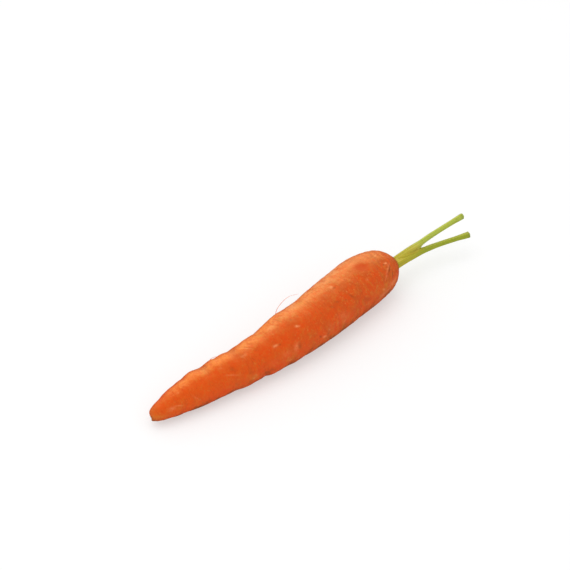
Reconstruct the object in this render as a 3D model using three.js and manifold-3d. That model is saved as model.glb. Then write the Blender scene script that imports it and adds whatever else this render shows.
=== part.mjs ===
// A fresh carrot lying on its side, with its leaf stalks cut short.
//
// Millimetres, +Z up. The carrot is laid out with the tip of its root at x = 0 and its crown
// towards +X, and the finished group is centred on the origin with its resting face at z = 0.
// Every solid starts as a straight lathe or extrusion, which is then bent along its own line.

import * as THREE from "three";
import { mergeVertices } from "three/addons/utils/BufferGeometryUtils.js";
import Module from "manifold-3d";

const wasm = await Module();
wasm.setup();

// ---- Root ----

const ROOT_LENGTH = 171;
// Half the root's outline, as [distance from the tip, radius], from the blunt tip to the
// shallow dish in the crown.
const ROOT_OUTLINE = [
  [0, 0],
  [0.1, 1.4],
  [0.9, 2.95],
  [3, 4.1],
  [8, 5.6],
  [16, 7.5],
  [30, 9.2],
  [46, 10.1],
  [62, 11.0],
  [78, 12.4],
  [96, 13.4],
  [112, 14.1],
  [128, 14.7],
  [142, 14.8],
  [152, 14.0],
  [160, 12.2],
  [165.5, 8.9],
  [168.1, 5.9],
  [169.2, 4.7],
  [169, 3.8],
  [168.1, 0],
];
// The line that the root is bowed along: it swings sideways and climbs as the root thickens.
const ROOT_LINE = [
  [0, 0.45, 6.5],
  [29, -1.1, 9.2],
  [57, -4.2, 10.9],
  [86, -5.0, 12.4],
  [114, -3.1, 13.9],
  [142, 0.3, 14.7],
  [171, 0.9, 14.5],
];
const STATIONS = 120;
const ROOT_SIDES = 46;

// Shallow folds across the root, as [distance from the tip, side that it faces in degrees,
// depth, half its length along the root]. Facing 0 is +Y and 90 is up. A minus depth is a bulge.
const FOLDS = [
  [16, 200, 0.35, 3],
  [23.5, 60, 0.25, 2],
  [28, 60, -0.45, 3.5],
  [30, 204, -0.3, 6],
  [34.8, 62, 0.85, 3.2],
  [41, 75, -0.3, 3],
  [43.3, 60, 0.2, 1.5],
  [46, 204, 0.3, 3],
  [47, 60, -0.15, 4],
  [52.5, 60, 0.8, 3],
  [53, 204, -0.35, 3.5],
  [59, 60, 0.4, 3.5],
  [63.4, 202, 0.65, 2],
  [68, 204, -0.3, 4],
  [70, 60, 0.65, 4],
  [77, 204, 0.25, 3],
  [86, 56, -1, 7],
  [88, 210, 0.3, 3],
  [101, 60, 0.3, 4],
  [129, 56, 0.45, 6],
  [30, 300, 0.45, 3.5],
  [44, 350, 0.4, 3],
  [58, 275, 0.4, 4],
  [74, 330, 0.45, 3.5],
  [93, 290, 0.35, 4],
  [104, 345, 0.4, 3.5],
  [122, 310, 0.35, 4],
  [137, 0, 0.35, 3.5],
];

// Scars of the side roots: short cuts across the root. The upper side has a few scattered ones,
// as [distance from the tip, side that it faces in degrees, size], and the rest stand in rows.
const UPPER_SCARS = [
  [10, 158, 0.7],
  [17, 86, 0.7],
  [47, 141, 0.8],
  [55, 108, 0.9],
  [56, 185, 0.9],
  [72, 131, 0.8],
  [88, 122, 0.8],
  [104, 172, 1.1],
  [119, 94, 1.0],
  [142, 167, 0.9],
  [156, 120, 0.7],
];
const SCAR_ROWS = [20, 258, 318];
const SCAR_FIRST = 14;
const SCAR_LAST = 158;
const SCAR_SPACING = 13;
const SCAR_HALF_WIDTH = 2.4;
const SCAR_HALF_LENGTH = 1.25;
const SCAR_DEPTH = 0.42;

// Rings round the shoulder, where the outer leaves have dropped off, by distance from the tip.
const RINGS = [150, 154.2, 158, 161.4, 164.4, 167];
const RING_HALF_LENGTH = 0.9;
const RING_DEPTH = 0.22;

// ---- Leaf stalks ----

// Each stalk's line runs from inside the crown to its cut end. half_thickness is given at even
// steps along it, and spread is how much wider the stalk's foot is than it is thick.
const UPPER_STALK = {
  line: [
    [166.6, 2.1, 14.1],
    [172.5, 2.1, 15.0],
    [180.5, 1.8, 16.4],
    [189, 0.95, 18.0],
    [198, 0.2, 20.1],
    [210, -0.9, 22.1],
    [221.5, -2.3, 24.1],
  ],
  half_thickness: [1.6, 1.7, 1.85, 1.55, 1.45, 1.45, 1.7],
  spread: 1.5,
};
const LOWER_STALK = {
  line: [
    [166.6, -1.4, 14.2],
    [172, -1.4, 14.5],
    [181, -1.2, 14.3],
    [190, -1.4, 14.1],
    [200, -2.9, 14.0],
    [211, -5.8, 14.2],
    [221, -8.8, 14.5],
  ],
  half_thickness: [1.8, 1.75, 1.85, 1.65, 1.48, 1.45, 1.8],
  spread: 1.5,
};
const STALK_SIDES = 20;
const STALK_STEPS = 28;
const STALK_RIBS = 5;
const RIB_HEIGHT = 0.07;
const CHANNEL_DEPTH = 0.22;
const FOOT_SHARE = 0.4;
// Below the fork the stalks lie together. Up to CLASP_SHARE of its length the inner side of each
// is squared and its channel is filled, and both fade over the next CLASP_FADE.
const CLASP_SHARE = 0.39;
const CLASP_FADE = 0.08;
const CLASP_FILL = 0.3;

// Clear space left round a stalk, where it stands in the crown or lies against the other one.
const CLEARANCE = 0.3;

const GOLDEN = 0.618034;

// ---- Shared tools ----

// 1 at zero, fading to nothing over about two units either way.
const bell = (x) => Math.exp(-x * x);

// 0 below zero, 1 above one, smooth between.
const ease = (x) => THREE.MathUtils.smoothstep(x, 0, 1);

// The shortest turn from one direction to another, in radians.
function turn(from, to) {
  return Math.atan2(Math.sin(to - from), Math.cos(to - from));
}

const curveThrough = (points) =>
  new THREE.CatmullRomCurve3(
    points.map(([x, y, z = 0]) => new THREE.Vector3(x, y, z)),
    false,
    "catmullrom",
  );

// A point beside a curve: share of the way along it, then off to its +Y side and upwards.
function beside(curve, share, aside, above) {
  const inside = THREE.MathUtils.clamp(share, 0, 1);
  const ahead = curve.getTangentAt(inside);
  const side = new THREE.Vector3(0, 0, 1).cross(ahead).normalize();
  const up = ahead.clone().cross(side);
  return curve
    .getPointAt(inside)
    .addScaledVector(ahead, (share - inside) * curve.getLength())
    .addScaledVector(side, aside)
    .addScaledVector(up, above);
}

// Moves every vertex of a geometry to where place(x, y, z) puts it.
function reshape(geometry, place) {
  const position = geometry.getAttribute("position");
  for (let i = 0; i < position.count; i++) {
    const to = place(position.getX(i), position.getY(i), position.getZ(i));
    position.setXYZ(i, to.x, to.y, to.z);
  }
  return geometry;
}

function solidFrom(geometry) {
  geometry.deleteAttribute("normal");
  geometry.deleteAttribute("uv");
  const merged = mergeVertices(geometry, 1e-3);
  return new wasm.Manifold(
    new wasm.Mesh({
      numProp: 3,
      vertProperties: merged.getAttribute("position").array,
      triVerts: new Uint32Array(merged.index.array),
    }),
  );
}

function meshOf(name, solid, material) {
  const { vertProperties, triVerts } = solid.getMesh();
  const geometry = new THREE.BufferGeometry()
    .setAttribute("position", new THREE.BufferAttribute(vertProperties, 3))
    .setIndex(new THREE.BufferAttribute(triVerts, 1));
  geometry.computeVertexNormals();
  const mesh = new THREE.Mesh(geometry, material);
  mesh.name = name;
  return mesh;
}

// ---- Root ----

// Where the side roots grew, as [distance from the tip, direction in radians, size].
function rootScars() {
  const scars = UPPER_SCARS.map(([at, side, size]) => [at, THREE.MathUtils.degToRad(side), size]);
  SCAR_ROWS.forEach((row, r) => {
    const count = Math.floor((SCAR_LAST - SCAR_FIRST) / SCAR_SPACING);
    for (let k = 0; k <= count; k++) {
      const stray = ((k * GOLDEN + r * 0.37) % 1) - 0.5;
      const at = SCAR_FIRST + SCAR_SPACING * (k + 0.7 * stray + 0.2 * r);
      const facing = THREE.MathUtils.degToRad(row + 26 * ((k * GOLDEN * 5) % 1) - 13);
      scars.push([at, facing, 0.65 + 0.5 * (stray + 0.5)]);
    }
  });
  return scars;
}

const SCARS = rootScars();

// How far the skin stands out from the plain lathed outline, in millimetres.
function rootRelief(at, direction, radius) {
  const oval = 0.018 * radius * Math.cos(2 * direction + 0.4 - at / 60);
  const lobes = 0.012 * radius * Math.cos(3 * direction + at / 35);
  let relief = oval + lobes;
  for (const [foldAt, facing, depth, halfLength] of FOLDS) {
    const away = turn(direction, THREE.MathUtils.degToRad(facing));
    const facingShare = Math.max(0, Math.cos(away)) ** 2;
    relief -= depth * bell((at - foldAt) / halfLength) * facingShare;
  }
  for (const [scarAt, facing, size] of SCARS) {
    const along = (at - scarAt) / SCAR_HALF_LENGTH;
    const across = (turn(direction, facing) * radius) / (SCAR_HALF_WIDTH * size);
    relief -= SCAR_DEPTH * size * bell(along) * bell(across);
  }
  RINGS.forEach((ringAt, i) => {
    const waver = 0.5 * Math.sin(3 * direction + 2 * i);
    relief -= RING_DEPTH * bell((at - ringAt + waver) / RING_HALF_LENGTH);
  });
  return relief * ease(radius / 4);
}

function rootSolid() {
  const line = curveThrough(ROOT_LINE);
  const outline = curveThrough(ROOT_OUTLINE).getSpacedPoints(STATIONS);
  const profile = outline.map((point) => new THREE.Vector2(Math.max(0, point.y), point.x));
  profile[0].x = 0;
  profile[STATIONS].x = 0;
  const lathe = new THREE.LatheGeometry(profile, ROOT_SIDES);
  const bowed = reshape(lathe, (x, at, z) => {
    const radius = Math.hypot(x, z);
    const direction = Math.atan2(x, z);
    const skin = radius + rootRelief(at, direction, radius);
    const aside = skin * Math.cos(direction);
    const above = skin * Math.sin(direction);
    return beside(line, at / ROOT_LENGTH, aside, above);
  });
  return solidFrom(bowed);
}

// The space below the surface that the carrot lies on.
function belowSurface() {
  const block = new THREE.BoxGeometry(2 * ROOT_LENGTH, 100, 20);
  return solidFrom(block.translate(ROOT_LENGTH / 2, 0, -10));
}

// ---- Leaf stalks ----

// The outline of a stalk one unit thick: round with ribs, and a channel along its inner side.
function stalkSection() {
  const points = [];
  for (let i = 0; i < STALK_SIDES; i++) {
    const direction = (2 * Math.PI * i) / STALK_SIDES;
    const ribs = RIB_HEIGHT * Math.cos(STALK_RIBS * direction);
    const channel = CHANNEL_DEPTH * bell(turn(direction, Math.PI / 2) / 0.5);
    const radius = 1 + ribs - channel;
    const across = radius * Math.cos(direction);
    const through = radius * Math.sin(direction);
    points.push(new THREE.Vector2(across, through));
  }
  return new THREE.Shape(points);
}

// The value at a share of the way along a list of even steps.
function along(values, share) {
  const step = THREE.MathUtils.clamp(share, 0, 1) * (values.length - 1);
  const low = Math.min(Math.floor(step), values.length - 2);
  return THREE.MathUtils.lerp(values[low], values[low + 1], ease(step - low));
}

// How much further a squared side reaches than a round one.
const squared = (direction) => (Math.cos(direction) ** 4 + Math.sin(direction) ** 4) ** -0.25;

// A stalk, or with a margin, the space that it needs. inward is the side of its channel.
function stalkSolid(stalk, inward, margin = 0) {
  const line = curveThrough(stalk.line);
  const length = line.getLength();
  const straight = new THREE.ExtrudeGeometry(stalkSection(), {
    depth: length + 2 * margin,
    steps: STALK_STEPS,
    bevelEnabled: false,
  });
  const bent = reshape(straight, (x, y, z) => {
    const share = (z - margin) / length;
    const half = along(stalk.half_thickness, share);
    const foot = ease(1 - share / FOOT_SHARE);
    const wide = half * (1 + (stalk.spread - 1) * foot);
    const clasp = y > 0 ? ease((CLASP_SHARE - share) / CLASP_FADE + 1) : 0;
    const reach = 1 + clasp * (squared(Math.atan2(y, x)) - 1);
    const aside = inward * y * reach * ((1 + CLASP_FILL * clasp) * half + margin);
    return beside(line, share, aside, inward * -x * reach * (wide + margin));
  });
  return solidFrom(bent);
}

// ---- The carrot ----

const skin = new THREE.MeshStandardMaterial({ color: 0xdb5a1c, roughness: 0.5, metalness: 0 });
const paleGreen = new THREE.MeshStandardMaterial({ color: 0xa9b848, roughness: 0.55, metalness: 0 });
const green = new THREE.MeshStandardMaterial({ color: 0x9aae38, roughness: 0.55, metalness: 0 });

// The channels of the two stalks face each other, and the lower stalk's foot clasps the upper's.
const upperStalk = stalkSolid(UPPER_STALK, -1);
const upperSpace = stalkSolid(UPPER_STALK, -1, CLEARANCE);
const lowerSpace = stalkSolid(LOWER_STALK, 1, CLEARANCE);
const lowerStalk = stalkSolid(LOWER_STALK, 1).subtract(upperSpace);
const taproot = rootSolid().subtract(belowSurface()).subtract(upperSpace).subtract(lowerSpace);

const carrot = new THREE.Group();
carrot.add(
  meshOf("taproot", taproot, skin),
  meshOf("leaf_stalk_upper", upperStalk, paleGreen),
  meshOf("leaf_stalk_lower", lowerStalk, green),
);
const middle = new THREE.Box3().setFromObject(carrot).getCenter(new THREE.Vector3());
carrot.position.set(-middle.x, -middle.y, 0);

export default carrot;
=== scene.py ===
"""A fresh carrot with short cut leaf stalks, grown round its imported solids.

Shapes are worked out in millimetres in the carrot's own frame: x is the distance from the tip of
the root, and an angle round a piece is 0 towards +Y and 90 degrees upwards. The stage and the
sizes in the panel are in metres. Each piece starts as a straight lathed skin along X, which is
carved, and then bent along a line.
"""

import bisect
import math

import bmesh
import bpy
from mathutils import Matrix, Vector, noise
from mathutils.geometry import interpolate_bezier


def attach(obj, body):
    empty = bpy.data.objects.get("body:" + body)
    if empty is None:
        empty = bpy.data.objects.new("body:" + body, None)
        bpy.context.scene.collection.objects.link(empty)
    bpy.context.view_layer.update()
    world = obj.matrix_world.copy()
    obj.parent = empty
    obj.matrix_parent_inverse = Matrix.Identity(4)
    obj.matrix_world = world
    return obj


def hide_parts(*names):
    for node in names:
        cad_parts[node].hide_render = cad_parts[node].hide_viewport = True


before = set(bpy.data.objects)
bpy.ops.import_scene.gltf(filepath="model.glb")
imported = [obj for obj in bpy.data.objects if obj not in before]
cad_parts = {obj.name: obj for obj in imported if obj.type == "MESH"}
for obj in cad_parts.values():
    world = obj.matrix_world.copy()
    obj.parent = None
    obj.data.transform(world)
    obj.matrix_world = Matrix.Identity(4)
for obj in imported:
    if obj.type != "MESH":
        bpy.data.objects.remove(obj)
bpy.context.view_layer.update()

bl_info = {
    "name": "Fresh Carrot",
    "version": (1, 0, 0),
    "blender": (4, 5, 0),
    "location": "3D View > Sidebar > Carrot",
    "description": "Grows a carrot's root, leaf stalks and rootlets round its packed solids",
    "category": "Add Mesh",
}

MM = 0.001
BODY = "root"

# Steps of this share of a whole scatter things evenly, because they never come round again.
GOLDEN = 0.618034
# A bell counts as nothing past this many times its half width.
BELL_REACH = 3
# Steps between two knots of a smooth line, and of the root's outline.
LINE_STEPS = 40
OUTLINE_STEPS = 24
# Points of a lathed skin that are nearer to its axis than ON_AXIS are on it. Those of them that
# are nearer to each other than MERGE_DISTANCE become one.
ON_AXIS = 1e-4
MERGE_DISTANCE = 1e-3

# Where the zero of the carrot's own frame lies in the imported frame.
ROOT_PLACE = Vector((-110.923, 1.643, 0))

# ---- The root's form ----

ROOT_LENGTH = 171
# Half the root's outline, as (distance from the tip, radius), from the blunt tip to the shallow
# dish in the crown, and the line that the root is bowed along.
ROOT_OUTLINE = [
    (0, 0), (0.1, 1.4), (0.9, 2.95), (3, 4.1), (8, 5.6), (16, 7.5), (30, 9.2), (46, 10.1),
    (62, 11.0), (78, 12.4), (96, 13.4), (112, 14.1), (128, 14.7), (142, 14.8), (152, 14.0),
    (160, 12.2), (165.5, 8.9), (168.1, 5.9), (169.2, 4.7), (169, 3.8), (168.1, 0),
]
ROOT_LINE = [
    (0, 0.45, 6.5), (29, -1.1, 9.2), (57, -4.2, 10.9), (86, -5.0, 12.4),
    (114, -3.1, 13.9), (142, 0.3, 14.7), (171, 0.9, 14.5),
]

# The root isn't quite round: it is a little oval and three-lobed, by these shares of its radius.
OVAL_SHARE = 0.018
LOBE_SHARE = 0.012
# Folds, scars, marks and wrinkles fade out inside this radius, at both ends of the root.
SMOOTH_RADIUS = 4

# Shallow folds across the root: distance from the tip, side, depth, half length along the root.
# A minus depth is a bulge.
FOLDS = [
    (16, 200, 0.35, 3), (23.5, 60, 0.25, 2), (28, 60, -0.45, 3.5), (30, 204, -0.3, 6),
    (34.8, 62, 0.85, 3.2), (41, 75, -0.3, 3), (43.3, 60, 0.2, 1.5), (46, 204, 0.3, 3),
    (47, 60, -0.15, 4), (52.5, 60, 0.8, 3), (53, 204, -0.35, 3.5), (59, 60, 0.4, 3.5),
    (63.4, 202, 0.65, 2), (68, 204, -0.3, 4), (70, 60, 0.65, 4), (77, 204, 0.25, 3),
    (86, 56, -1, 7), (88, 210, 0.3, 3), (101, 60, 0.3, 4), (129, 56, 0.45, 6),
    (30, 300, 0.45, 3.5), (44, 350, 0.4, 3), (58, 275, 0.4, 4), (74, 330, 0.45, 3.5),
    (93, 290, 0.35, 4), (104, 345, 0.4, 3.5), (122, 310, 0.35, 4), (137, 0, 0.35, 3.5),
]

# Scars of the side roots: scattered on the upper side (distance from the tip, side, size), and
# in rows elsewhere.
UPPER_SCARS = [
    (10, 158, 0.7), (17, 86, 0.7), (47, 141, 0.8), (55, 108, 0.9), (56, 185, 0.9),
    (72, 131, 0.8), (88, 122, 0.8), (104, 172, 1.1), (119, 94, 1.0), (142, 167, 0.9),
    (156, 120, 0.7),
]
SCAR_ROWS = [20, 258, 318]
SCAR_FIRST = 14
SCAR_LAST = 158
SCAR_SPACING = 13
SCAR_HALF_WIDTH = 2.4
SCAR_HALF_LENGTH = 1.25
SCAR_DEPTH = 0.42

# Rings round the shoulder, where the outer leaves have dropped off.
RINGS = [150, 154.2, 158, 161.4, 164.4, 167]
RING_HALF_LENGTH = 0.9
RING_DEPTH = 0.22

# Marks on the skin: distance from the tip, side, half length, half width, slant from straight
# across the root, how proud the mark stands, how strong its colour is.
MARKS = {
    "pale": [
        (9.6, 151, 1.7, 1.1, 80, 0.03, 0.4), (13.4, 152, 1.8, 0.3, 66, 0.05, 0.4),
        (16, 106, 0.6, 0.4, 60, 0.05, 0.35), (23, 158, 2.6, 0.35, 37, 0.04, 0.2),
        (41, 110, 0.8, 0.4, 70, 0.05, 0.35), (45, 144, 3.6, 0.35, 65, 0.05, 0.3),
        (55.4, 184, 0.7, 0.45, 60, 0.06, 0.4), (55.5, 108, 1.4, 0.8, 86, 0.06, 0.35),
        (57.2, 179, 0.6, 0.4, 30, 0.06, 0.35), (57.6, 98, 2.6, 1.4, -86, 0.02, 0.12),
        (58, 89, 3.0, 0.28, 43, 0.08, 0.45), (60.3, 86, 2.6, 0.26, 36, 0.08, 0.4),
        (67.7, 167, 2.6, 1.8, 65, 0.02, 0.08), (72, 130, 1.3, 0.7, 88, 0.12, 0.75),
        (75.4, 85, 2.8, 2.0, -77, 0.02, 0.22), (75.7, 81, 1.8, 0.9, 47, 0.05, 0.3),
        (76.1, 164, 3.0, 2.0, 80, 0.02, 0.12), (77.3, 186, 0.8, 0.45, 70, 0.06, 0.4),
        (82, 160, 2.2, 1.2, -27, 0.07, 0.42), (85.3, 78, 1.3, 0.8, 59, 0.06, 0.4),
        (88, 118, 1.1, 0.5, 66, 0.14, 1.5), (93.8, 78, 3.4, 2.0, 90, 0.02, 0.22),
        (99.4, 178, 1.2, 0.7, 65, 0.06, 0.6), (103.2, 170, 0.9, 0.6, 81, 0.06, 0.35),
        (103.6, 76, 2.4, 0.4, -5, 0.06, 0.45), (105, 168, 2.6, 1.8, -55, 0.02, 0.1),
        (105.3, 70, 2.8, 2.0, -84, 0.02, 0.2), (109.9, 168, 0.6, 0.45, 63, 0.06, 0.4),
        (113.2, 160, 3.6, 2.2, 57, 0.02, 0.1), (114, 175, 0.9, 0.6, 81, 0.05, 0.3),
        (115.3, 164, 3.4, 2.2, 46, 0.02, 0.09), (118.9, 92, 1.0, 0.75, 64, 0.13, 1.0),
        (138.8, 130, 0.7, 0.5, 84, 0.06, 0.5), (139.6, 78, 3.6, 2.2, -77, 0.02, 0.3),
        (147.6, 171, 1.0, 0.5, 68, 0.07, 0.5), (148, 186, 4.4, 1.6, -84, 0.02, 0.35),
        (148.9, 71, 3.4, 2.4, 89, 0.02, 0.28), (152.5, 146, 2.6, 0.4, -50, 0.07, 0.5),
        (154.6, 90, 1.5, 0.5, -64, 0.08, 0.45), (155.9, 133, 3.2, 0.42, -59, 0.09, 0.65),
        (156.3, 120, 1.0, 0.45, 79, 0.12, 1.4), (157.2, 173, 4.6, 1.7, -80, 0.02, 0.4),
    ],
    "golden": [
        (2.4, 162, 3.0, 0.9, 73, 0.02, 0.6), (12.8, 162, 1.8, 0.5, 43, 0.03, 0.4),
        (43.2, 150, 1.6, 0.5, -37, 0.02, 0.4), (55.6, 182, 2.8, 1.5, 65, 0.05, 0.8),
        (69.2, 81, 2.0, 1.2, 77, -0.02, 0.45), (69.4, 76, 1.9, 0.9, 33, -0.03, 0.4),
        (73.8, 150, 4.4, 2.6, 62, 0, 0.2), (76.8, 184, 2.4, 1.1, 70, 0.04, 0.8),
        (79.5, 180, 1.4, 0.8, -74, 0.04, 0.5), (83.8, 76, 2.2, 1.5, 90, -0.02, 0.45),
        (89, 127, 1.4, 0.4, 41, 0.02, 0.35), (93.3, 157, 3.2, 1.8, 53, 0.0, 0.16),
        (100, 71, 2.4, 1.4, -88, -0.02, 0.5), (111.4, 58, 2.6, 1.4, 58, -0.02, 0.5),
        (127.5, 135, 2.8, 0.8, 33, 0.02, 0.3), (141.1, 167, 4.6, 2.0, -88, 0.02, 0.35),
        (148, 172, 2.2, 0.6, -40, 0.04, 0.3), (148.5, 172, 4.8, 2.2, -73, 0.03, 0.34),
        (151.7, 160, 3.8, 0.5, -41, 0.05, 0.4), (153.9, 165, 3.2, 0.5, -33, 0.05, 0.4),
    ],
    "dark": [
        (0.2, 232, 1.5, 1.1, 0, 0, 0.7), (46.3, 127, 1.5, 1.1, 41, -0.06, 0.36),
        (59.1, 88, 3.2, 0.26, 37, -0.1, 0.4), (61.7, 84, 2.4, 0.26, 34, -0.08, 0.35),
        (74.4, 133, 0.8, 0.5, 85, -0.08, 0.4), (82.3, 79, 2.8, 0.35, 18, -0.07, 0.35),
        (84, 162, 1.9, 1.1, -7, -0.1, 0.5), (84, 76, 1.4, 0.6, 60, -0.05, 0.25),
        (87.4, 97, 0.6, 0.5, 59, -0.06, 0.5), (91.8, 98, 0.6, 0.5, 64, -0.05, 0.4),
        (97.1, 172, 0.8, 0.55, 39, -0.12, 0.8), (109.8, 68, 0.6, 0.45, 21, -0.05, 0.5),
        (110.4, 128, 1.4, 0.5, 46, -0.04, 0.35), (115.1, 127, 1.5, 0.6, 60, -0.05, 0.35),
        (119.8, 98, 0.7, 0.45, 66, -0.1, 0.6), (121.2, 80, 0.6, 0.45, 37, -0.06, 0.5),
        (124.1, 137, 2.0, 0.6, 27, -0.08, 0.6), (133.1, 166, 2.8, 1.2, 64, -0.05, 0.3),
        (151.8, 89, 2.2, 1.2, 83, -0.05, 0.3), (154.5, 121, 0.5, 0.42, 73, -0.12, 0.9),
        (156.4, 138, 2.0, 0.5, -49, -0.12, 0.85), (157.6, 152, 1.8, 0.45, -24, -0.1, 0.7),
    ],
    "red": [
        (4.8, 135, 0.9, 0.7, 44, -0.03, 0.5), (51.4, 101, 3.0, 1.8, 89, -0.03, 0.35),
        (52.1, 94, 2.6, 1.6, 62, -0.03, 0.5), (54.8, 132, 2.4, 1.4, 44, -0.02, 0.4),
        (58.8, 167, 1.4, 0.9, 87, -0.03, 0.6), (110.9, 103, 3.4, 2.2, 79, -0.03, 0.5),
        (117.5, 100, 2.6, 1.4, 80, -0.03, 0.35), (121.9, 109, 3.4, 2.2, 76, -0.03, 0.45),
        (122.2, 166, 2.4, 1.4, -37, -0.03, 0.4), (128, 150, 2.6, 1.0, 60, -0.03, 0.35),
        (135, 167, 3.2, 1.2, 73, -0.04, 0.5), (141.4, 99, 3.9, 2.7, 62, -0.18, 1.6),
        (142, 182, 0.9, 0.6, 81, 0.03, 0.7),
    ],
}

# Marks scattered by rule over the side that the listed ones leave bare.
STRAY_MARKS = 64
STRAY_KINDS = ["pale", "dark", "golden", "pale", "red"]
STRAY_SIDES = (205, 415)
STRAY_FIRST = 6
STRAY_SPAN = 152
STRAY_HEIGHT = 0.07

# The skin is paler along a line on the upper flank: partly dried skin, partly a painted highlight
# where the sheen light falls. Its side at the tip and its turn for each millimetre, how far the
# pale band reaches, in radians, and the length that it takes to start.
DRY_AND_HIGHLIGHT_SIDE = math.radians(84)
DRY_AND_HIGHLIGHT_TURN = math.radians(-0.27)
DRY_AND_HIGHLIGHT_HALF_WIDTH = 0.44
DRY_AND_HIGHLIGHT_START = 30

# Where the underside faces, and how far the painted shade along it reaches up the sides, in
# radians.
UNDERSIDE = math.radians(272)
SHADE_REACH = 1.5

# Old leaf scars ring the crown from this distance along the root, within this radius.
CROWN_START = 164
CROWN_RADIUS = 8.5

# The short stub of the tail, at the blunt tip: its place beside the middle of the tip, towards
# +Y and upwards, its size, and how far along the root the skin bulges with it.
TAIL_PLACE = (-1.2, -1.45)
TAIL_HALF_WIDTH = 0.85
TAIL_LENGTH = 0.95
TAIL_REACH = 3

# Thin hair roots: the path of each, as distance from the tip, side, height over the skin.
ROOTLETS = [
    [(87, 34, -0.5), (89, 40, 2), (91.5, 47, 3.6), (96, 52, 4.7), (100, 52, 4.2), (105, 50, 2.2)],
    [(41, 24, -0.5), (43, 20, 1.0), (46, 14, 1.6), (49, 8, 1.0)],
    [(68, 5, -0.5), (66, 0, 1.1), (62, -6, 1.8), (59, -9, 1.5), (56, -10, 0.7)],
    [(121, 16, -0.5), (123, 12, 1.2), (127, 9, 1.4), (130, 9, 0.5)],
]
ROOTLET_HALF_THICKNESS = 0.15
ROOTLET_RINGS = 40
ROOTLET_SIDES = 10
# Even stations along the root's outline, where a rootlet finds how thick the root is.
ROOTLET_STATIONS = 400

# ---- The leaf stalks' form ----

# Each stalk's line runs from inside the crown to its cut end. half_thickness is given at even
# steps along it, and inward is the way along Y to the other stalk, which its channel faces.
UPPER_STALK = {
    "line": [
        (166.6, 2.1, 14.1), (172.5, 2.1, 15.0), (180.5, 1.8, 16.4), (189, 0.95, 18.0),
        (198, 0.2, 20.1), (210, -0.9, 22.1), (221.5, -2.3, 24.1),
    ],
    "half_thickness": [1.6, 1.7, 1.85, 1.55, 1.45, 1.45, 1.7],
    "inward": -1,
}
LOWER_STALK = {
    "line": [
        (166.6, -1.4, 14.2), (172, -1.4, 14.5), (181, -1.2, 14.3), (190, -1.4, 14.1),
        (200, -2.9, 14.0), (211, -5.8, 14.2), (221, -8.8, 14.5),
    ],
    "half_thickness": [1.8, 1.75, 1.85, 1.65, 1.48, 1.45, 1.8],
    "inward": 1,
}
# How much wider than thick a stalk is at its foot, and the share of its length that this takes.
FOOT_SPREAD = 1.5
FOOT_SHARE = 0.4
# The main ribs are in the solids too, and the fine ones, with a height of their own, aren't.
STALK_RIBS = 5
RIB_HEIGHT = 0.07
FINE_RIBS = 13
CHANNEL_DEPTH = 0.22
# Below the fork the inner side of each stalk is squared and its channel is filled. Both fade
# over CLASP_FADE of the length, past CLASP_SHARE of it.
CLASP_SHARE = 0.37
CLASP_FADE = 0.11
CLASP_FILL = 0.3
# The lower stalk keeps this far off the upper one. The nearest part of the upper stalk is
# looked for at this many even steps along it.
STALK_GAP = 0.01
STALK_STATIONS = 80
# The cut end, from its rim to the middle of its sunken face: distance past the end of the
# stalk's line, and share of the stalk's thickness.
CUT_END = [(0.10, 0.96), (0.14, 0.88), (0.06, 0.74), (-0.16, 0.55), (-0.26, 0.28), (-0.28, 0)]

# The thin dry skin that bridges the groove between the stalks, from the crown to the fork.
FORK_SKIN = [
    (168.4, 0.1, 16.1), (173, -0.1, 16.7), (176.5, -0.4, 16.85), (180, -0.6, 16.75),
    (183.5, -1.0, 16.5), (187, -1.4, 16.1), (191, -1.2, 15.5),
]
FORK_SKIN_HALF_WIDTH = 1.15
FORK_SKIN_HALF_THICKNESS = 0.4
FORK_SKIN_RINGS = 70
FORK_SKIN_SIDES = 28
# How far the dry skin leans: its face looks up and to the side that the lower stalk is on.
FORK_SKIN_LEAN = math.radians(45)


# ---- Sizes and colours that a user would change ----


def colour(name, text, default):
    """A colour property, in linear light."""
    return bpy.props.FloatVectorProperty(
        name=name, description=text, subtype="COLOR", size=3, min=0, max=1, default=default
    )


def length(name, text, default):
    """A length property, in metres."""
    return bpy.props.FloatProperty(
        name=name, description=text, unit="LENGTH", subtype="DISTANCE", default=default
    )


def number(name, text, default, **kind):
    """A plain number property that isn't negative."""
    return bpy.props.FloatProperty(name=name, description=text, default=default, min=0, **kind)


def count(name, text, default):
    """A whole number property, of 8 or more."""
    return bpy.props.IntProperty(name=name, description=text, default=default, min=8)


class CarrotRoot(bpy.types.PropertyGroup):
    """How finely the root is made, and how it is coloured."""

    rings: count("Rings", "Rings of faces from tip to crown", 490)
    sides: count("Sides", "Faces round the root", 196)
    wrinkle: length("Wrinkles", "Height of the fine wrinkles across the skin", 0.00008)
    vivid: colour("Clean skin", "Colour of the clean skin", (0.775, 0.063, 0.001))
    dull: colour("Dull skin", "Browner colour of the weathered skin", (0.57, 0.087, 0.009))
    amber: colour("Thin skin", "Yellower colour where the skin is thin", (0.86, 0.125, 0.004))
    # Painted highlight, partly dried skin: the peach of the pale band along the upper flank.
    peach_dry_and_highlight: colour("Dry skin", "Colour of the skin that has dried paler", (0.95, 0.22, 0.03))
    pale: colour("Healed skin", "Colour of pores and healed scars", (0.95, 0.31, 0.12))
    golden: colour("Golden skin", "Olive gold of the dry flakes", (0.66, 0.17, 0.018))
    red: colour("Red skin", "Red of the freshly rubbed skin", (0.66, 0.052, 0.004))
    # Also the colour of the painted shade along the underside.
    earth_and_shade: colour("Creases", "Brown of creases and earth stains", (0.26, 0.055, 0.010))


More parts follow.
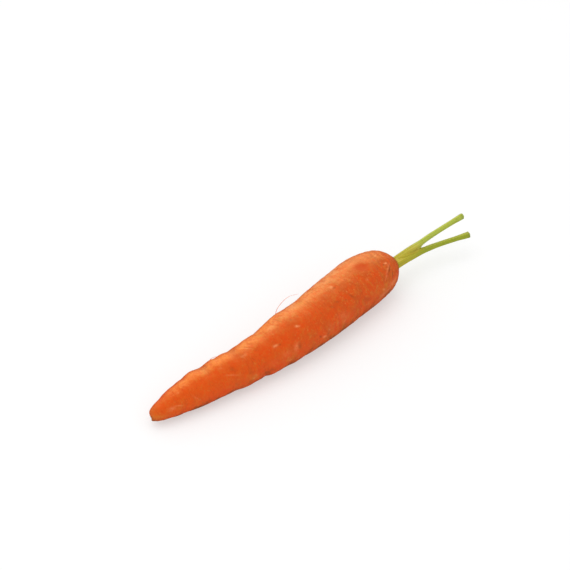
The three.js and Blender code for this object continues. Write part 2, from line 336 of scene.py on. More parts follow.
class CarrotStalks(bpy.types.PropertyGroup):
    """How finely the leaf stalks are made, and how they are coloured."""

    rings: count("Rings", "Rings of faces along a stalk", 170)
    sides: count("Sides", "Faces round a stalk", 80)
    rib: length("Ribs", "Height of the fine ribs along a stalk", 0.00007)
    foot: colour("Foot", "Colour where the stalks leave the crown", (0.50, 0.42, 0.034))
    lime: colour("Upper stalk", "Colour of the upper stalk", (0.45, 0.52, 0.08))
    green: colour("Lower stalk", "Colour of the lower stalk", (0.34, 0.39, 0.032))
    # Also painted shade in the grooves between the ribs.
    vein_and_groove_shade: colour("Veins", "Colour of the dark lines between the ribs", (0.22, 0.27, 0.016))
    tan: colour("Fork", "Colour of the dry skin inside the fork", (0.52, 0.38, 0.04))
    cut: colour("Cut face", "Colour of the dried cut face", (0.16, 0.21, 0.045))


class CarrotStage(bpy.types.PropertyGroup):
    """The floor, the lights and the camera."""

    azimuth: bpy.props.FloatProperty(
        name="Azimuth",
        description="Direction of the camera round the carrot",
        subtype="ANGLE",
        default=math.radians(-41.05),
    )
    elevation: bpy.props.FloatProperty(
        name="Elevation",
        description="Height of the camera above the horizon",
        subtype="ANGLE",
        default=math.radians(40),
    )
    distance: length("Distance", "From the camera to the point that it looks at", 0.76287)
    lens: number("Lens", "Focal length in millimetres", 85)
    floor: colour("Floor", "Colour of the floor", (0.55, 0.55, 0.55))
    glow: number("Floor glow", "Light that the floor gives off by itself", 0.45)
    sky: number("Sky", "Strength of the light from all round", 0.85)
    sheen: number("Sheen light", "Power of the panel behind the carrot", 24, unit="POWER")
    fill: number("Fill light", "Power of the panel above the carrot", 5, unit="POWER")


# ---- Stage layout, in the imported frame, in metres ----

CAMERA_TARGET = (Vector((123.068, 39.729, 0)) + ROOT_PLACE) * MM
CAMERA_NEAR = 0.01
# The sensor alone is in millimetres, like the lens.
SENSOR_WIDTH = 36
# The panels of light face this spot, and "direction" is the way from it to a panel.
LIT_SPOT = Vector((0, 0, 0.015))
SHEEN_PANEL = {
    "tint": (1, 0.84, 0.42),
    "size": (1.3, 0.8),
    "direction": Vector((0.461, 0.665, 0.588)),
    "distance": 1.1,
}
FILL_PANEL = {
    "tint": (1, 1, 1),
    "size": (1.3, 1.3),
    "direction": Vector((-0.25, 0.1, 1)),
    "distance": 1.4,
}
FLOOR_HALF_WIDTH = 4


# ---- Shapes ----


def bell(x):
    """1 at zero, fading to nothing over about two units either way."""
    return math.exp(-x * x)


def ease(x):
    """0 below zero, 1 above one, smooth between."""
    x = min(max(x, 0), 1)
    return x * x * (3 - 2 * x)


def turn(start, end):
    """The shortest turn from one direction to another, in radians."""
    return math.atan2(math.sin(end - start), math.cos(end - start))


def curve_points(knots, per_span):
    """Points along a smooth curve through the knots."""
    knots = [Vector(knot) for knot in knots]
    line = [2 * knots[0] - knots[1], *knots, 2 * knots[-1] - knots[-2]]
    points = [knots[0]]
    for a, b, c, d in zip(line, line[1:], line[2:], line[3:]):
        span = interpolate_bezier(b, b + (c - a) / 6, c - (d - b) / 6, c, per_span + 1)
        points += span[1:]
    return points


class Path:
    """A smooth line, read by the share of its length."""

    def __init__(self, knots):
        self.points = curve_points(knots, LINE_STEPS)
        self.marks = [0.0]
        for a, b in zip(self.points, self.points[1:]):
            self.marks.append(self.marks[-1] + (b - a).length)
        self.length = self.marks[-1]
        last = len(self.points) - 1
        self.aheads = [
            (self.points[min(i + 1, last)] - self.points[max(i - 1, 0)]).normalized()
            for i in range(last + 1)
        ]
        self.found = {}

    def axes(self, share):
        """The point, the +Y side and the upper side at a share of the length."""
        share = round(share, 6)
        if share not in self.found:
            self.found[share] = self.find_axes(share)
        return self.found[share]

    def find_axes(self, share):
        """Works out the axes at a new share. Past its ends the line goes straight on."""
        inside = min(max(share, 0), 1)
        at = inside * self.length
        i = min(bisect.bisect_right(self.marks, at), len(self.marks) - 1) - 1
        part = (at - self.marks[i]) / (self.marks[i + 1] - self.marks[i])
        ahead = self.aheads[i].lerp(self.aheads[i + 1], part).normalized()
        point = self.points[i].lerp(self.points[i + 1], part)
        point += ahead * (share - inside) * self.length
        side = Vector((0, 0, 1)).cross(ahead).normalized()
        return point, side, ahead.cross(side)

    def beside(self, share, aside, above):
        """A point beside the line."""
        point, side, up = self.axes(share)
        return point + side * aside + up * above


def even_steps(points, steps):
    """Points along the same line, in even steps of its length."""
    marks = [0.0]
    for a, b in zip(points, points[1:]):
        marks.append(marks[-1] + (b - a).length)
    found = []
    i = 0
    for step in range(steps + 1):
        at = marks[-1] * step / steps
        while i < len(marks) - 2 and marks[i + 1] < at:
            i += 1
        part = (at - marks[i]) / (marks[i + 1] - marks[i])
        found.append(points[i].lerp(points[i + 1], min(part, 1)))
    return found


def lathe(outline, sides):
    """A closed skin round the X axis, from an outline of (x, radius) that starts and ends on it."""
    bm = bmesh.new()
    verts = [bm.verts.new((x, radius, 0)) for x, radius in outline]
    edges = [bm.edges.new(pair) for pair in zip(verts, verts[1:])]
    bmesh.ops.spin(
        bm,
        geom=verts + edges,
        cent=(0, 0, 0),
        axis=(1, 0, 0),
        angle=2 * math.pi,
        steps=sides,
        use_merge=True,
    )
    poles = [v for v in bm.verts if math.hypot(v.co.y, v.co.z) < ON_AXIS]
    bmesh.ops.remove_doubles(bm, verts=poles, dist=MERGE_DISTANCE)
    bmesh.ops.recalc_face_normals(bm, faces=bm.faces)
    return bm


def add_part(whole, part):
    """Adds one bmesh to another, and frees it."""
    mesh = bpy.data.meshes.new("part")
    part.to_mesh(mesh)
    part.free()
    whole.from_mesh(mesh)
    bpy.data.meshes.remove(mesh)


def finish_piece(bm, name, material, node=None):
    """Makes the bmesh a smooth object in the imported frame, riding on the body."""
    bmesh.ops.translate(bm, vec=ROOT_PLACE, verts=bm.verts)
    bmesh.ops.scale(bm, vec=(MM, MM, MM), verts=bm.verts)
    for face in bm.faces:
        face.smooth = True
    mesh = bpy.data.meshes.new(name)
    bm.to_mesh(mesh)
    bm.free()
    mesh.materials.append(material)
    piece = bpy.data.objects.new(name, mesh)
    bpy.context.scene.collection.objects.link(piece)
    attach(piece, BODY)
    if node:
        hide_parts(node)


# ---- The root ----


def root_outline(rings):
    """The root's outline as (x, radius), from the tip to the middle of the crown."""
    knots = [(at, radius, 0) for at, radius in ROOT_OUTLINE]
    points = even_steps(curve_points(knots, OUTLINE_STEPS), rings)
    inner = [(point.x, max(point.y, 0)) for point in points[1:-1]]
    return [(points[0].x, 0), *inner, (points[-1].x, 0)]


def root_scars():
    """Where the side roots grew: distance from the tip, direction in radians, size."""
    scars = [(at, math.radians(side), size) for at, side, size in UPPER_SCARS]
    for r, row in enumerate(SCAR_ROWS):
        for k in range((SCAR_LAST - SCAR_FIRST) // SCAR_SPACING + 1):
            stray = (k * GOLDEN + r * 0.37) % 1 - 0.5
            at = SCAR_FIRST + SCAR_SPACING * (k + 0.7 * stray + 0.2 * r)
            facing = math.radians(row + 26 * ((k * GOLDEN * 5) % 1) - 13)
            scars.append((at, facing, 0.65 + 0.5 * (stray + 0.5)))
    return scars


def root_marks():
    """The listed marks and the stray ones, with angles in radians and the kind in front."""
    marks = []
    for kind, listed in MARKS.items():
        for at, side, long, wide, slant, proud, strength in listed:
            shape = (long, wide, math.radians(slant), proud, strength)
            marks.append((kind, at, math.radians(side), *shape))
    first, last = STRAY_SIDES
    for k in range(STRAY_MARKS):
        kind = STRAY_KINDS[k % len(STRAY_KINDS)]
        pick = (k * GOLDEN * 3) % 1
        at = STRAY_FIRST + STRAY_SPAN * ((k * GOLDEN) % 1) ** 0.8
        side = first + (last - first) * ((k * GOLDEN * 2.3) % 1)
        proud = STRAY_HEIGHT if kind in ("pale", "golden") else -STRAY_HEIGHT
        shape = (0.6 + 2 * pick, 0.35 + 0.3 * pick, 2 * math.pi * pick, proud, 0.7 - 0.4 * pick)
        marks.append((kind, at, math.radians(side), *shape))
    return marks


def main_relief(at, direction, radius, scars):
    """How far the skin stands out from the plain outline: the form that the solids have too."""
    relief = OVAL_SHARE * radius * math.cos(2 * direction + 0.4 - at / 60)
    relief += LOBE_SHARE * radius * math.cos(3 * direction + at / 35)
    for fold_at, facing, depth, half_length in FOLDS:
        if abs(at - fold_at) < BELL_REACH * half_length:
            share = max(0, math.cos(turn(direction, math.radians(facing)))) ** 2
            relief -= depth * bell((at - fold_at) / half_length) * share
    for scar_at, facing, size in scars:
        if abs(at - scar_at) < BELL_REACH * SCAR_HALF_LENGTH:
            across = turn(direction, facing) * radius / (SCAR_HALF_WIDTH * size)
            along = (at - scar_at) / SCAR_HALF_LENGTH
            relief -= SCAR_DEPTH * size * bell(along) * bell(across)
    for i, ring_at in enumerate(RINGS):
        waver = 0.5 * math.sin(3 * direction + 2 * i)
        relief -= RING_DEPTH * bell((at - ring_at + waver) / RING_HALF_LENGTH)
    return relief


def wrinkles(at, direction, radius):
    """How many wrinkle heights the skin stands out, and how deep in a crease it is."""
    across = Vector((0, math.cos(direction), math.sin(direction))) * radius
    coarse = noise.noise(Vector((at * 0.16, 0, 0)) + across * 0.07)
    ripple = noise.noise(Vector((at * 0.5, 0, 0)) + across * 0.13)
    pucker = noise.noise(Vector((at * 0.3, 3, 0)) + across * 0.27)
    crease = noise.noise(Vector((at * 1.1, 7, 0)) + across * 0.16)
    creased = bell(crease / 0.07) * ease((coarse + 0.05) * 3)
    return 1.2 * coarse + 0.45 * ripple + 1.5 * pucker - 0.9 * creased, creased


def crown_relief(at, direction, radius):
    """How far the old leaf scars round the stalks stand out along the root."""
    place = Vector((0, math.cos(direction), math.sin(direction))) * radius
    waver = noise.noise(place * 0.3)
    lumps = noise.noise(place * 0.8)
    scarred = ease((at - CROWN_START) / 4) * ease((CROWN_RADIUS - radius) / 3)
    return scarred * (0.17 * math.cos(3.4 * radius + 6 * waver) + 0.3 * lumps)


def tail_relief(at, aside, above):
    """How far the stub of the tail stands out past the tip."""
    off = math.hypot(aside - TAIL_PLACE[0], above - TAIL_PLACE[1])
    return TAIL_LENGTH * bell(off / TAIL_HALF_WIDTH) * ease((TAIL_REACH - at) / 2)


def mark_relief(at, direction, radius, marks):
    """How proud the marks make the skin, and how strongly each kind colours it."""
    relief = 0.0
    tints = dict.fromkeys(MARKS, 0.0)
    for kind, mark_at, facing, long, wide, slant, proud, strength in marks:
        step = at - mark_at
        if abs(step) > BELL_REACH * long:
            continue
        aside = turn(facing, direction) * radius
        length_way = (aside * math.cos(slant) + step * math.sin(slant)) / long
        width_way = (step * math.cos(slant) - aside * math.sin(slant)) / wide
        share = bell(length_way) * bell(width_way)
        relief += proud * share
        tints[kind] = min(tints[kind] + strength * share, 1)
    return relief, tints


class CARROT_OT_root(bpy.types.Operator):
    """Grow the root: a wrinkled tapering skin from tip to crown"""

    bl_idname = "carrot.root"
    bl_label = "Grow Root"

    def execute(self, context):
        look = context.scene.carrot_root
        bm = lathe(root_outline(look.rings), look.sides)
        line = Path(ROOT_LINE)
        scars = root_scars()
        marks = root_marks()
        straight = bm.verts.layers.float_vector.new("straight")
        kinds = [*MARKS, "crease", "hollow", "dry", "below"]
        layers = {kind: bm.verts.layers.float.new(kind) for kind in kinds}
        for v in bm.verts:
            at = v.co.x
            radius = math.hypot(v.co.y, v.co.z)
            direction = math.atan2(v.co.z, v.co.y)
            main = main_relief(at, direction, radius, scars)
            fine, crease = wrinkles(at, direction, radius)
            proud, shares = mark_relief(at, direction, radius, marks)
            crown = crown_relief(at, direction, radius)
            # Painted highlight, partly dried skin: paler along a line on the upper flank, where the
            # sheen light falls.
            off_line = turn(direction, DRY_AND_HIGHLIGHT_SIDE + DRY_AND_HIGHLIGHT_TURN * at)
            shares["crease"] = crease + 3 * max(0, -crown)
            shares["hollow"] = -main
            shares["dry"] = bell(off_line / DRY_AND_HIGHLIGHT_HALF_WIDTH) * ease(at / DRY_AND_HIGHLIGHT_START)
            # Painted shade: how near the underside a point is, for the darkening along it.
            shares["below"] = SHADE_REACH - abs(turn(direction, UNDERSIDE))
            for kind, share in shares.items():
                v[layers[kind]] = share
            v[straight] = v.co

            relief = main + proud + fine * look.wrinkle / MM
            skin = radius + relief * ease(radius / SMOOTH_RADIUS)
            aside = skin * math.cos(direction)
            above = skin * math.sin(direction)
            lift = crown - tail_relief(at, v.co.y, v.co.z)
            v.co = line.beside((at + lift) / ROOT_LENGTH, aside, above)
            # The root is flat where it lies on the surface.
            v.co.z = max(v.co.z, 0)
        finish_piece(bm, "root_skin", skin_material(look), "taproot")
        return {"FINISHED"}


def rootlet(hair, line, outline):
    """One hair root as a bmesh: it thins towards its end and swells and narrows on the way."""
    knots = []
    for at, side, height in hair:
        nearest = min(outline, key=lambda point: abs(point[0] - at))
        radius = nearest[1] + height
        direction = math.radians(side)
        aside = radius * math.cos(direction)
        above = radius * math.sin(direction)
        knots.append(line.beside(at / ROOT_LENGTH, aside, above))
    path = Path(knots)
    shape = [(0, 0)]
    for i in range(ROOTLET_RINGS + 1):
        share = i / ROOTLET_RINGS
        swell = 0.2 * noise.noise(Vector((share * 9, knots[0].x, 0)))
        shape.append((share, ROOTLET_HALF_THICKNESS * (1 - 0.75 * share + swell)))
    shape.append((1, 0))
    bm = lathe(shape, ROOTLET_SIDES)
    for v in bm.verts:
        v.co = path.beside(v.co.x, v.co.y, v.co.z)
    return bm


class CARROT_OT_rootlets(bpy.types.Operator):
    """Grow the thin hair roots that are left on the root's flanks"""

    bl_idname = "carrot.rootlets"
    bl_label = "Grow Rootlets"

    def execute(self, context):
        look = context.scene.carrot_root
        line = Path(ROOT_LINE)
        outline = root_outline(ROOTLET_STATIONS)
        whole = bmesh.new()
        for hair in ROOTLETS:
            add_part(whole, rootlet(hair, line, outline))
        finish_piece(whole, "rootlets", rootlet_material(look))
        return {"FINISHED"}


# ---- The leaf stalks ----


class Stalk:
    """The form of one leaf stalk: its line and the outline of its section."""

    def __init__(self, form):
        self.path = Path(form["line"])
        self.half_thickness = form["half_thickness"]
        self.inward = form["inward"]

    def half(self, share):
        """Half the thickness at a share of the length."""
        values = self.half_thickness
        step = min(max(share, 0), 1) * (len(values) - 1)
        low = min(int(step), len(values) - 2)
        return values[low] + (values[low + 1] - values[low]) * ease(step - low)

    def section(self, share, direction):
        """A point of the skin beside the line. Direction 0 faces the other stalk."""
        half = self.half(share)
        wide = half * (1 + (FOOT_SPREAD - 1) * ease(1 - share / FOOT_SHARE))
        inner = math.cos(direction)
        clasp = ease((CLASP_SHARE - share) / CLASP_FADE + 1) if inner > 0 else 0
        squared = (inner**8 + math.sin(direction) ** 8) ** -0.125
        ribs = RIB_HEIGHT * math.cos(STALK_RIBS * (direction + math.pi / 2))
        channel = CHANNEL_DEPTH * (1 - clasp) * bell(turn(direction, 0) / 0.5)
        radius = 1 + ribs - channel
        reach = self.inward * radius * (1 + clasp * (squared - 1))
        aside = inner * reach * (1 + CLASP_FILL * clasp) * half
        return aside, math.sin(direction) * reach * wide

    def nearest_share(self, co):
        """The share of the length where the stalk's line passes nearest to a point."""
        shares = [i / STALK_STATIONS for i in range(STALK_STATIONS + 1)]
        share = min(shares, key=lambda s: (self.path.axes(s)[0] - co).length_squared)
        point, side, up = self.path.axes(share)
        return share + (co - point).dot(side.cross(up)) / self.path.length

    def keep_off(self, co):
        """The nearest place outside the stalk for a point that may be in it."""
        share = self.nearest_share(co)
        point, side, up = self.path.axes(share)
        away = co - point
        aside = away.dot(side)
        above = away.dot(up)
        wanted = math.atan2(self.inward * above, self.inward * aside)
        # A section isn't round, so the direction that meets the wanted one is found in steps.
        direction = wanted
        for _ in range(3):
            skin_aside, skin_above = self.section(share, direction)
            found = math.atan2(self.inward * skin_above, self.inward * skin_aside)
            direction += turn(found, wanted)
        reach = math.hypot(skin_aside, skin_above) + STALK_GAP
        depth = reach - math.hypot(aside, above)
        if depth <= 0:
            return co
        return co + (side * aside + up * above).normalized() * depth


def grow_stalk(look, name, form, tint, node, slot, other=None):
    """One stalk, with ribs, a channel on its inner side and a cut end. It keeps off the other."""
    stalk = Stalk(form)
    full = stalk.path.length
    outline = [(0, 0), (0, 0.5)]
    outline += [(full * i / look.rings, 1) for i in range(look.rings + 1)]
    outline += [(full + past, ring) for past, ring in CUT_END]
    bm = lathe(outline, look.sides)
    layers = {kind: bm.verts.layers.float.new(kind) for kind in ("share", "cut", "rib", "inner")}
    for v in bm.verts:
        share = v.co.x / full
        ring = math.hypot(v.co.y, v.co.z)
        direction = math.atan2(v.co.z, v.co.y)
        ribs = 0.5 + 0.5 * math.cos(FINE_RIBS * direction + 0.8 * math.sin(6 * share))
        swell = 1 + 0.02 * noise.noise(Vector((share * 9, form["inward"] * 3, 0)))
        aside, above = stalk.section(share, direction)
        lift = look.rib / MM * (ribs**0.6 - 0.6) * ring
        size = ring * swell + lift / stalk.half(share)
        v[layers["share"]] = share
        v[layers["cut"]] = ease((1 - ring) * 8) if share > 0.9 else 0
        v[layers["rib"]] = ribs
        v[layers["inner"]] = max(0, math.cos(direction))
        v.co = stalk.path.beside(share, aside * size, above * size)
        if other:
            v.co = other.keep_off(v.co)
    finish_piece(bm, name, stalk_material(look, name, tint), node)


def grow_fork_skin(look):
    """The dry skin in the groove between the stalks, thin at both ends."""
    path = Path(FORK_SKIN)
    shares = [i / FORK_SKIN_RINGS for i in range(1, FORK_SKIN_RINGS)]
    outline = [(share, math.sin(math.pi * share) ** 0.6) for share in shares]
    bm = lathe([(0, 0), *outline, (1, 0)], FORK_SKIN_SIDES)
    layers = {kind: bm.verts.layers.float.new(kind) for kind in ("share", "rib", "inner")}
    for v in bm.verts:
        share = v.co.x
        v[layers["share"]] = share * CLASP_SHARE
        v[layers["rib"]] = 0.5
        v[layers["inner"]] = math.hypot(v.co.y, v.co.z)
        crinkle = 1 + 0.15 * noise.noise(Vector((share * 9, v.co.y, v.co.z)))
        wide = v.co.y * FORK_SKIN_HALF_WIDTH * crinkle
        high = v.co.z * FORK_SKIN_HALF_THICKNESS * crinkle
        aside = wide * math.cos(FORK_SKIN_LEAN) - high * math.sin(FORK_SKIN_LEAN)
        above = wide * math.sin(FORK_SKIN_LEAN) + high * math.cos(FORK_SKIN_LEAN)
        v.co = path.beside(share, aside, above)
    finish_piece(bm, "fork_skin", stalk_material(look, "fork_skin", look.lime))


class CARROT_OT_stalks(bpy.types.Operator):
    """Grow the two cut leaf stalks, and the dry skin in the groove below their fork"""

    bl_idname = "carrot.stalks"
    bl_label = "Grow Leaf Stalks"

    def execute(self, context):
        look = context.scene.carrot_stalks
        upper = ("upper_stalk", UPPER_STALK, look.lime, "leaf_stalk_upper", "stalk_pale")
        lower = ("lower_stalk", LOWER_STALK, look.green, "leaf_stalk_lower", "stalk_green")
        grow_stalk(look, *upper)
        grow_stalk(look, *lower, other=Stalk(UPPER_STALK))
        grow_fork_skin(look)
        return {"FINISHED"}


# ---- Materials ----


class Wire:
    """A socket that takes part in Python expressions: sums on wires add Math nodes."""

    def __init__(self, tree, socket):
        self.tree = tree
        self.socket = socket

    def math(self, operation, a, b):
        """A Math node on two wires or numbers."""
        return add_node(self.tree, "ShaderNodeMath", {"operation": operation}, **{"0": a, "1": b})

    def __add__(self, other):
        return self.math("ADD", self, other)

    def __sub__(self, other):
        return self.math("SUBTRACT", self, other)

    def __mul__(self, other):
        return self.math("MULTIPLY", self, other)

    def __rsub__(self, other):
        return self.math("SUBTRACT", other, self)

    __radd__ = __add__
    __rmul__ = __mul__

    def between(self, low, high):
        """0 at low, 1 at high, smooth between and flat outside. Low may be the larger one."""
        settings = {"interpolation_type": "SMOOTHSTEP"}
        inputs = {"Value": self, "From Min": low, "From Max": high}
        return add_node(self.tree, "ShaderNodeMapRange", settings, **inputs)

    def stretched(self, x, y, z):
        """A vector with each of its parts scaled."""
        settings = {"operation": "MULTIPLY"}
        return add_node(self.tree, "ShaderNodeVectorMath", settings, **{"0": self, "1": (x, y, z)})


def add_node(tree, kind, settings=None, out=0, **inputs):
    """Adds a node, sets it up, joins or sets its inputs, and gives one output as a wire."""
    node = tree.nodes.new(kind)
    for key, value in (settings or {}).items():
        setattr(node, key, value)
    for key, value in inputs.items():
        socket = node.inputs[int(key) if key.isdigit() else key]
        if isinstance(value, Wire):
            tree.links.new(value.socket, socket)
        elif isinstance(socket.default_value, (float, int)):
            socket.default_value = value
        elif len(socket.default_value) > len(value):
            socket.default_value = (*value, 1)
        else:
            socket.default_value = value
    return Wire(tree, node.outputs[out])


def mix(share, below, above):
    """One colour laid over another."""
    settings = {"data_type": "RGBA"}
    inputs = {"Factor": share, "6": below, "7": above}
    return add_node(share.tree, "ShaderNodeMix", settings, 2, **inputs)


def read(tree, name, out="Fac"):
    """A vertex attribute."""
    return add_node(tree, "ShaderNodeAttribute", {"attribute_name": name}, out)


def grain(vector, detail=2.0, rough=0.5):
    """Noise from 0 to 1, one unit across."""
    inputs = {"Vector": vector, "Scale": 1, "Detail": detail, "Roughness": rough}
    return add_node(vector.tree, "ShaderNodeTexNoise", None, 0, **inputs)


def new_material(name):
    """A new material with a principled shader: the material, its node tree and the shader."""
    material = bpy.data.materials.new(name)
    material.use_nodes = True
    tree = material.node_tree
    tree.nodes.clear()
    shader = tree.nodes.new("ShaderNodeBsdfPrincipled")
    output = tree.nodes.new("ShaderNodeOutputMaterial")
    tree.links.new(shader.outputs[0], output.inputs["Surface"])
    return material, tree, shader


def feed(shader, **inputs):
    """Joins or sets the shader's sockets of the same names."""
    for name, value in inputs.items():
        socket = shader.inputs[name.replace("_", " ")]
        if isinstance(value, Wire):
            value.tree.links.new(value.socket, socket)
        else:
            socket.default_value = value


def bumps(height, distance):
    """A normal from a height, of which 1 stands for this distance in metres."""
    return add_node(height.tree, "ShaderNodeBump", None, 0, Distance=distance, Height=height)


def skin_material(look):
    """Waxy orange root skin: clouded, speckled, streaked across, with scars and stains. A pale band
    along the upper flank is partly a painted highlight, and the underside has painted shade.
    """
    material, tree, shader = new_material("carrot_skin")

    # Patterns of falling size, streaks across the root, and how weathered the skin is: more so
    # towards the crown.
    place = read(tree, "straight", "Vector")
    along = add_node(tree, "ShaderNodeSeparateXYZ", None, 0, Vector=place)
    clouds = grain(place.stretched(0.055, 0.075, 0.075), 2)
    patches = grain(place.stretched(0.19, 0.15, 0.15), 3, 0.6)
    blotches = grain(place.stretched(0.42, 0.34, 0.34), 3, 0.65)
    specks = grain(place.stretched(1.0, 0.85, 0.85), 3, 0.6)
    grit = grain(place.stretched(2.6, 2.2, 2.2), 2, 0.6)
    streaks = grain(place.stretched(1.5, 0.22, 0.22), 3, 0.6)
    weather = along.between(30, 135) * 0.75 + clouds.between(0.4, 0.65) * 0.35

    # Broad colours.
    aged = patches.between(0.36, 0.66) * (0.14 + 0.46 * weather) + 0.1 * weather
    tint = mix(aged, look.vivid, look.dull)
    tint = mix(along.between(96, 11) * clouds.between(0.35, 0.6) * 0.2, tint, look.amber)
    tint = mix(blotches.between(0.5, 0.68) * (0.18 + 0.3 * weather), tint, look.golden)
    tint = mix(blotches.between(0.45, 0.3) * (0.2 + 0.3 * weather), tint, look.red)
    tint = mix(streaks.between(0.55, 0.72) * 0.08, tint, look.amber)
    tint = mix(streaks.between(0.43, 0.28) * 0.1, tint, look.red)

    # The line along which the skin is paler: partly dried skin, partly a painted highlight where
    # the sheen light falls.
    dry_highlight_share = patches.between(0.38, 0.6) * 0.46 + blotches.between(0.42, 0.6) * 0.38
    dry_highlight_share = (dry_highlight_share + specks.between(0.5, 0.66) * 0.32) * clouds.between(0.26, 0.4)
    dry_highlight_share = dry_highlight_share * read(tree, "dry") * (0.93 + 0.27 * weather)
    tint = mix(dry_highlight_share, tint, mix(weather.between(0.4, 0.9), look.peach_dry_and_highlight, look.pale))

    # Flecks and pores.
    tint = mix(specks.between(0.52, 0.68) * (0.12 + 0.33 * weather), tint, look.golden)
    tint = mix(specks.between(0.6, 0.74) * weather * 0.34, tint, look.pale)
    tint = mix(specks.between(0.43, 0.28) * (0.06 + 0.28 * weather), tint, look.earth_and_shade)
    tint = mix(grit.between(0.62, 0.76) * (0.13 + 0.16 * weather), tint, look.pale)
    tint = mix(grit.between(0.36, 0.24) * (0.1 + 0.2 * weather), tint, look.earth_and_shade)

    # Painted shade along the underside, in olive gold up the lower sides and brown along the
    # bottom, and a darker brown in the hollows and creases.
    below = read(tree, "below") + 2.2 * (patches - 0.5)
    tint = mix(below.between(-1, 0.4) * weather * 0.14, tint, look.golden)
    tint = mix(below.between(0, 0.75) * 0.75, tint, look.earth_and_shade)
    tint = mix(read(tree, "hollow").between(0.3, 0.9) * 0.2, tint, look.earth_and_shade)
    tint = mix(read(tree, "crease") * 0.2, tint, look.earth_and_shade)

    # The marks, with ragged edges.
    ragged = 0.5 + 0.6 * specks.between(0.36, 0.54)
    tint = mix(read(tree, "golden") * ragged, tint, look.golden)
    tint = mix(read(tree, "red") * blotches.between(0.22, 0.5), tint, look.red)
    tint = mix(read(tree, "dark") * ragged, tint, look.earth_and_shade)
    tint = mix(read(tree, "pale") * ragged, tint, look.pale)

    # Both ends of the root.
    tip = (6 - along + 14 * (0.5 - patches) + 8 * (0.5 - specks)).between(0, 6)
    tint = mix(tip * 0.4, tint, look.golden)
    crown = (along + 7 * (patches - 0.5)).between(163.5, 169)
    tint = mix(crown * (0.4 + 0.35 * specks), tint, look.earth_and_shade)

    rough = 0.40 + 0.18 * blotches + 0.12 * specks + 0.2 * read(tree, "red")
    height = patches * 1.4 + blotches + specks * 0.35 + grit * 0.12 + streaks * 0.04
    feed(
        shader,
        Base_Color=tint,
        Roughness=rough,
        Normal=bumps(height, 0.00035),
        Specular_IOR_Level=0.5,
        Specular_Tint=(1, 0.78, 0.3, 1),
        Subsurface_Weight=0.08,
        Subsurface_Radius=(1.0, 0.3, 0.1),
        Subsurface_Scale=0.001,
    )
    return material


def rootlet_material(look):
    """Dry hair root, paler than the skin, with darker knots."""
    material, tree, shader = new_material("rootlet")
    place = add_node(tree, "ShaderNodeTexCoord", None, "Object")
    knots = grain(place.stretched(900, 900, 900), 2)
    tint = mix(knots.between(0.45, 0.62) * 0.6, look.amber, look.pale)
    tint = mix(knots.between(0.4, 0.3) * 0.6, tint, look.dull)
    feed(shader, Base_Color=tint, Roughness=0.5 + 0.2 * knots)
    return material


def stalk_material(look, name, body):
    """Ribbed green stalk, yellow at the foot, with dark streaks and a dull cut face.

    The grooves between the ribs have painted shade.
    """
    material, tree, shader = new_material(name)
    share = read(tree, "share")
    rib = read(tree, "rib")
    place = add_node(tree, "ShaderNodeTexCoord", None, "Object")
    streaks = grain(place.stretched(70, 1100, 1100), 3, 0.6)
    clouds = grain(place.stretched(150, 150, 150), 2)
    way = share + (clouds - 0.5) * 0.25
    tint = mix(way.between(0.1, 0.5), look.foot, body)
    # Painted shade in the grooves between the ribs.
    tint = mix(rib.between(0.45, 0.0) * 0.25, tint, look.vein_and_groove_shade)
    tint = mix(streaks.between(0.5, 0.7) * 0.3, tint, look.foot)
    tint = mix(streaks.between(0.45, 0.3) * 0.35, tint, look.vein_and_groove_shade)
    fork = share.between(0.14, 0.26) * share.between(0.44, 0.36) * read(tree, "inner")
    tint = mix(fork * 0.6, tint, look.tan)
    tint = mix(share.between(0.955, 0.985) * 0.35, tint, look.cut)
    tint = mix(read(tree, "cut") * 0.8, tint, look.cut)
    feed(
        shader,
        Base_Color=tint,
        Roughness=0.42 + 0.15 * streaks,
        Normal=bumps(streaks, 0.00012),
        Specular_IOR_Level=0.3,
        Specular_Tint=(1, 0.95, 0.5, 1),
        Subsurface_Weight=0.25,
        Subsurface_Radius=(0.6, 0.9, 0.2),
        Subsurface_Scale=0.0015,
    )
    return material


# ---- Stage ----


def point_back(thing, target, back, distance):
    """Puts a camera or a light at a distance from its target, facing it, and links it."""
    spot = target + back.normalized() * distance
    facing = back.to_track_quat("Z", "Y").to_matrix().to_4x4()
    thing.matrix_world = Matrix.Translation(spot) @ facing
    bpy.context.scene.collection.objects.link(thing)


def softbox(name, power, tint, size, direction, distance):
    """A wide panel of light that faces the carrot."""
    light = bpy.data.lights.new(name, "AREA")
    light.shape = "RECTANGLE"
    light.size, light.size_y = size
    light.energy = power
    light.color = tint
    panel = bpy.data.objects.new(name, light)
    point_back(panel, LIT_SPOT, direction, distance)
    return panel


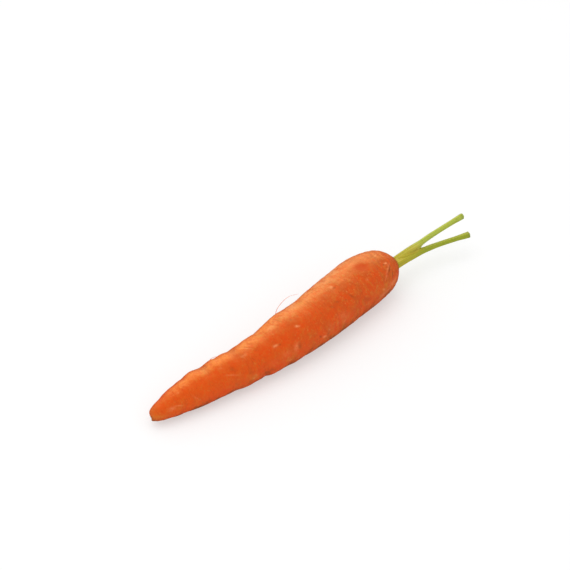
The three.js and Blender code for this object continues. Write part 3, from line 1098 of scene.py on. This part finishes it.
class CARROT_OT_stage(bpy.types.Operator):
    """Lay the pale floor, set the soft lights and place the camera"""

    bl_idname = "carrot.stage"
    bl_label = "Set Stage"

    def execute(self, context):
        scene = context.scene
        stage = scene.carrot_stage
        scene.view_settings.view_transform = "Standard"

        material, _, shader = new_material("floor")
        feed(
            shader,
            Base_Color=(*stage.floor, 1),
            Roughness=0.9,
            Emission_Color=(1, 1, 1, 1),
            Emission_Strength=stage.glow,
            Specular_IOR_Level=0.0,
        )
        bm = bmesh.new()
        bmesh.ops.create_grid(bm, x_segments=1, y_segments=1, size=FLOOR_HALF_WIDTH)
        mesh = bpy.data.meshes.new("floor")
        bm.to_mesh(mesh)
        bm.free()
        mesh.materials.append(material)
        floor = bpy.data.objects.new("floor", mesh)
        floor.visible_glossy = False
        scene.collection.objects.link(floor)

        world = bpy.data.worlds.new("studio")
        scene.world = world
        world.use_nodes = True
        background = world.node_tree.nodes["Background"]
        background.inputs["Color"].default_value = (1, 1, 1, 1)
        background.inputs["Strength"].default_value = stage.sky
        world.cycles_visibility.glossy = False

        sheen = softbox("sheen", stage.sheen, **SHEEN_PANEL)
        sheen.visible_diffuse = False
        fill = softbox("fill", stage.fill, **FILL_PANEL)
        fill.visible_glossy = False

        camera = bpy.data.objects.new("camera", bpy.data.cameras.new("camera"))
        camera.data.lens = stage.lens
        camera.data.sensor_width = SENSOR_WIDTH
        camera.data.clip_start = CAMERA_NEAR
        back = Vector((
            math.sin(stage.azimuth) * math.cos(stage.elevation),
            -math.cos(stage.azimuth) * math.cos(stage.elevation),
            math.sin(stage.elevation),
        ))
        point_back(camera, CAMERA_TARGET, back, stage.distance)
        scene.camera = camera
        return {"FINISHED"}


# ---- The add-on ----

GROUPS = {
    "carrot_root": CarrotRoot,
    "carrot_stalks": CarrotStalks,
    "carrot_stage": CarrotStage,
}
PANEL_ROWS = {
    "carrot_root": ["carrot.root", "carrot.rootlets"],
    "carrot_stalks": ["carrot.stalks"],
    "carrot_stage": ["carrot.stage"],
}


class CARROT_PT_panel(bpy.types.Panel):
    """The carrot's sizes, colours and steps"""

    bl_idname = "CARROT_PT_panel"
    bl_label = "Carrot"
    bl_space_type = "VIEW_3D"
    bl_region_type = "UI"
    bl_category = "Carrot"

    def draw(self, context):
        for group, steps in PANEL_ROWS.items():
            box = self.layout.box()
            settings = getattr(context.scene, group)
            for name in GROUPS[group].__annotations__:
                box.prop(settings, name)
            for step in steps:
                box.operator(step)


CLASSES = [
    *GROUPS.values(), CARROT_OT_root, CARROT_OT_rootlets, CARROT_OT_stalks, CARROT_OT_stage,
    CARROT_PT_panel,
]


def register():
    for cls in CLASSES:
        bpy.utils.register_class(cls)
    for name, group in GROUPS.items():
        setattr(bpy.types.Scene, name, bpy.props.PointerProperty(type=group))


def unregister():
    for name in GROUPS:
        delattr(bpy.types.Scene, name)
    for cls in reversed(CLASSES):
        bpy.utils.unregister_class(cls)


def main():
    register()
    bpy.ops.carrot.root()
    bpy.ops.carrot.rootlets()
    bpy.ops.carrot.stalks()
    bpy.ops.carrot.stage()
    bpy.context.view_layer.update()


if __name__ == "__main__":
    main()
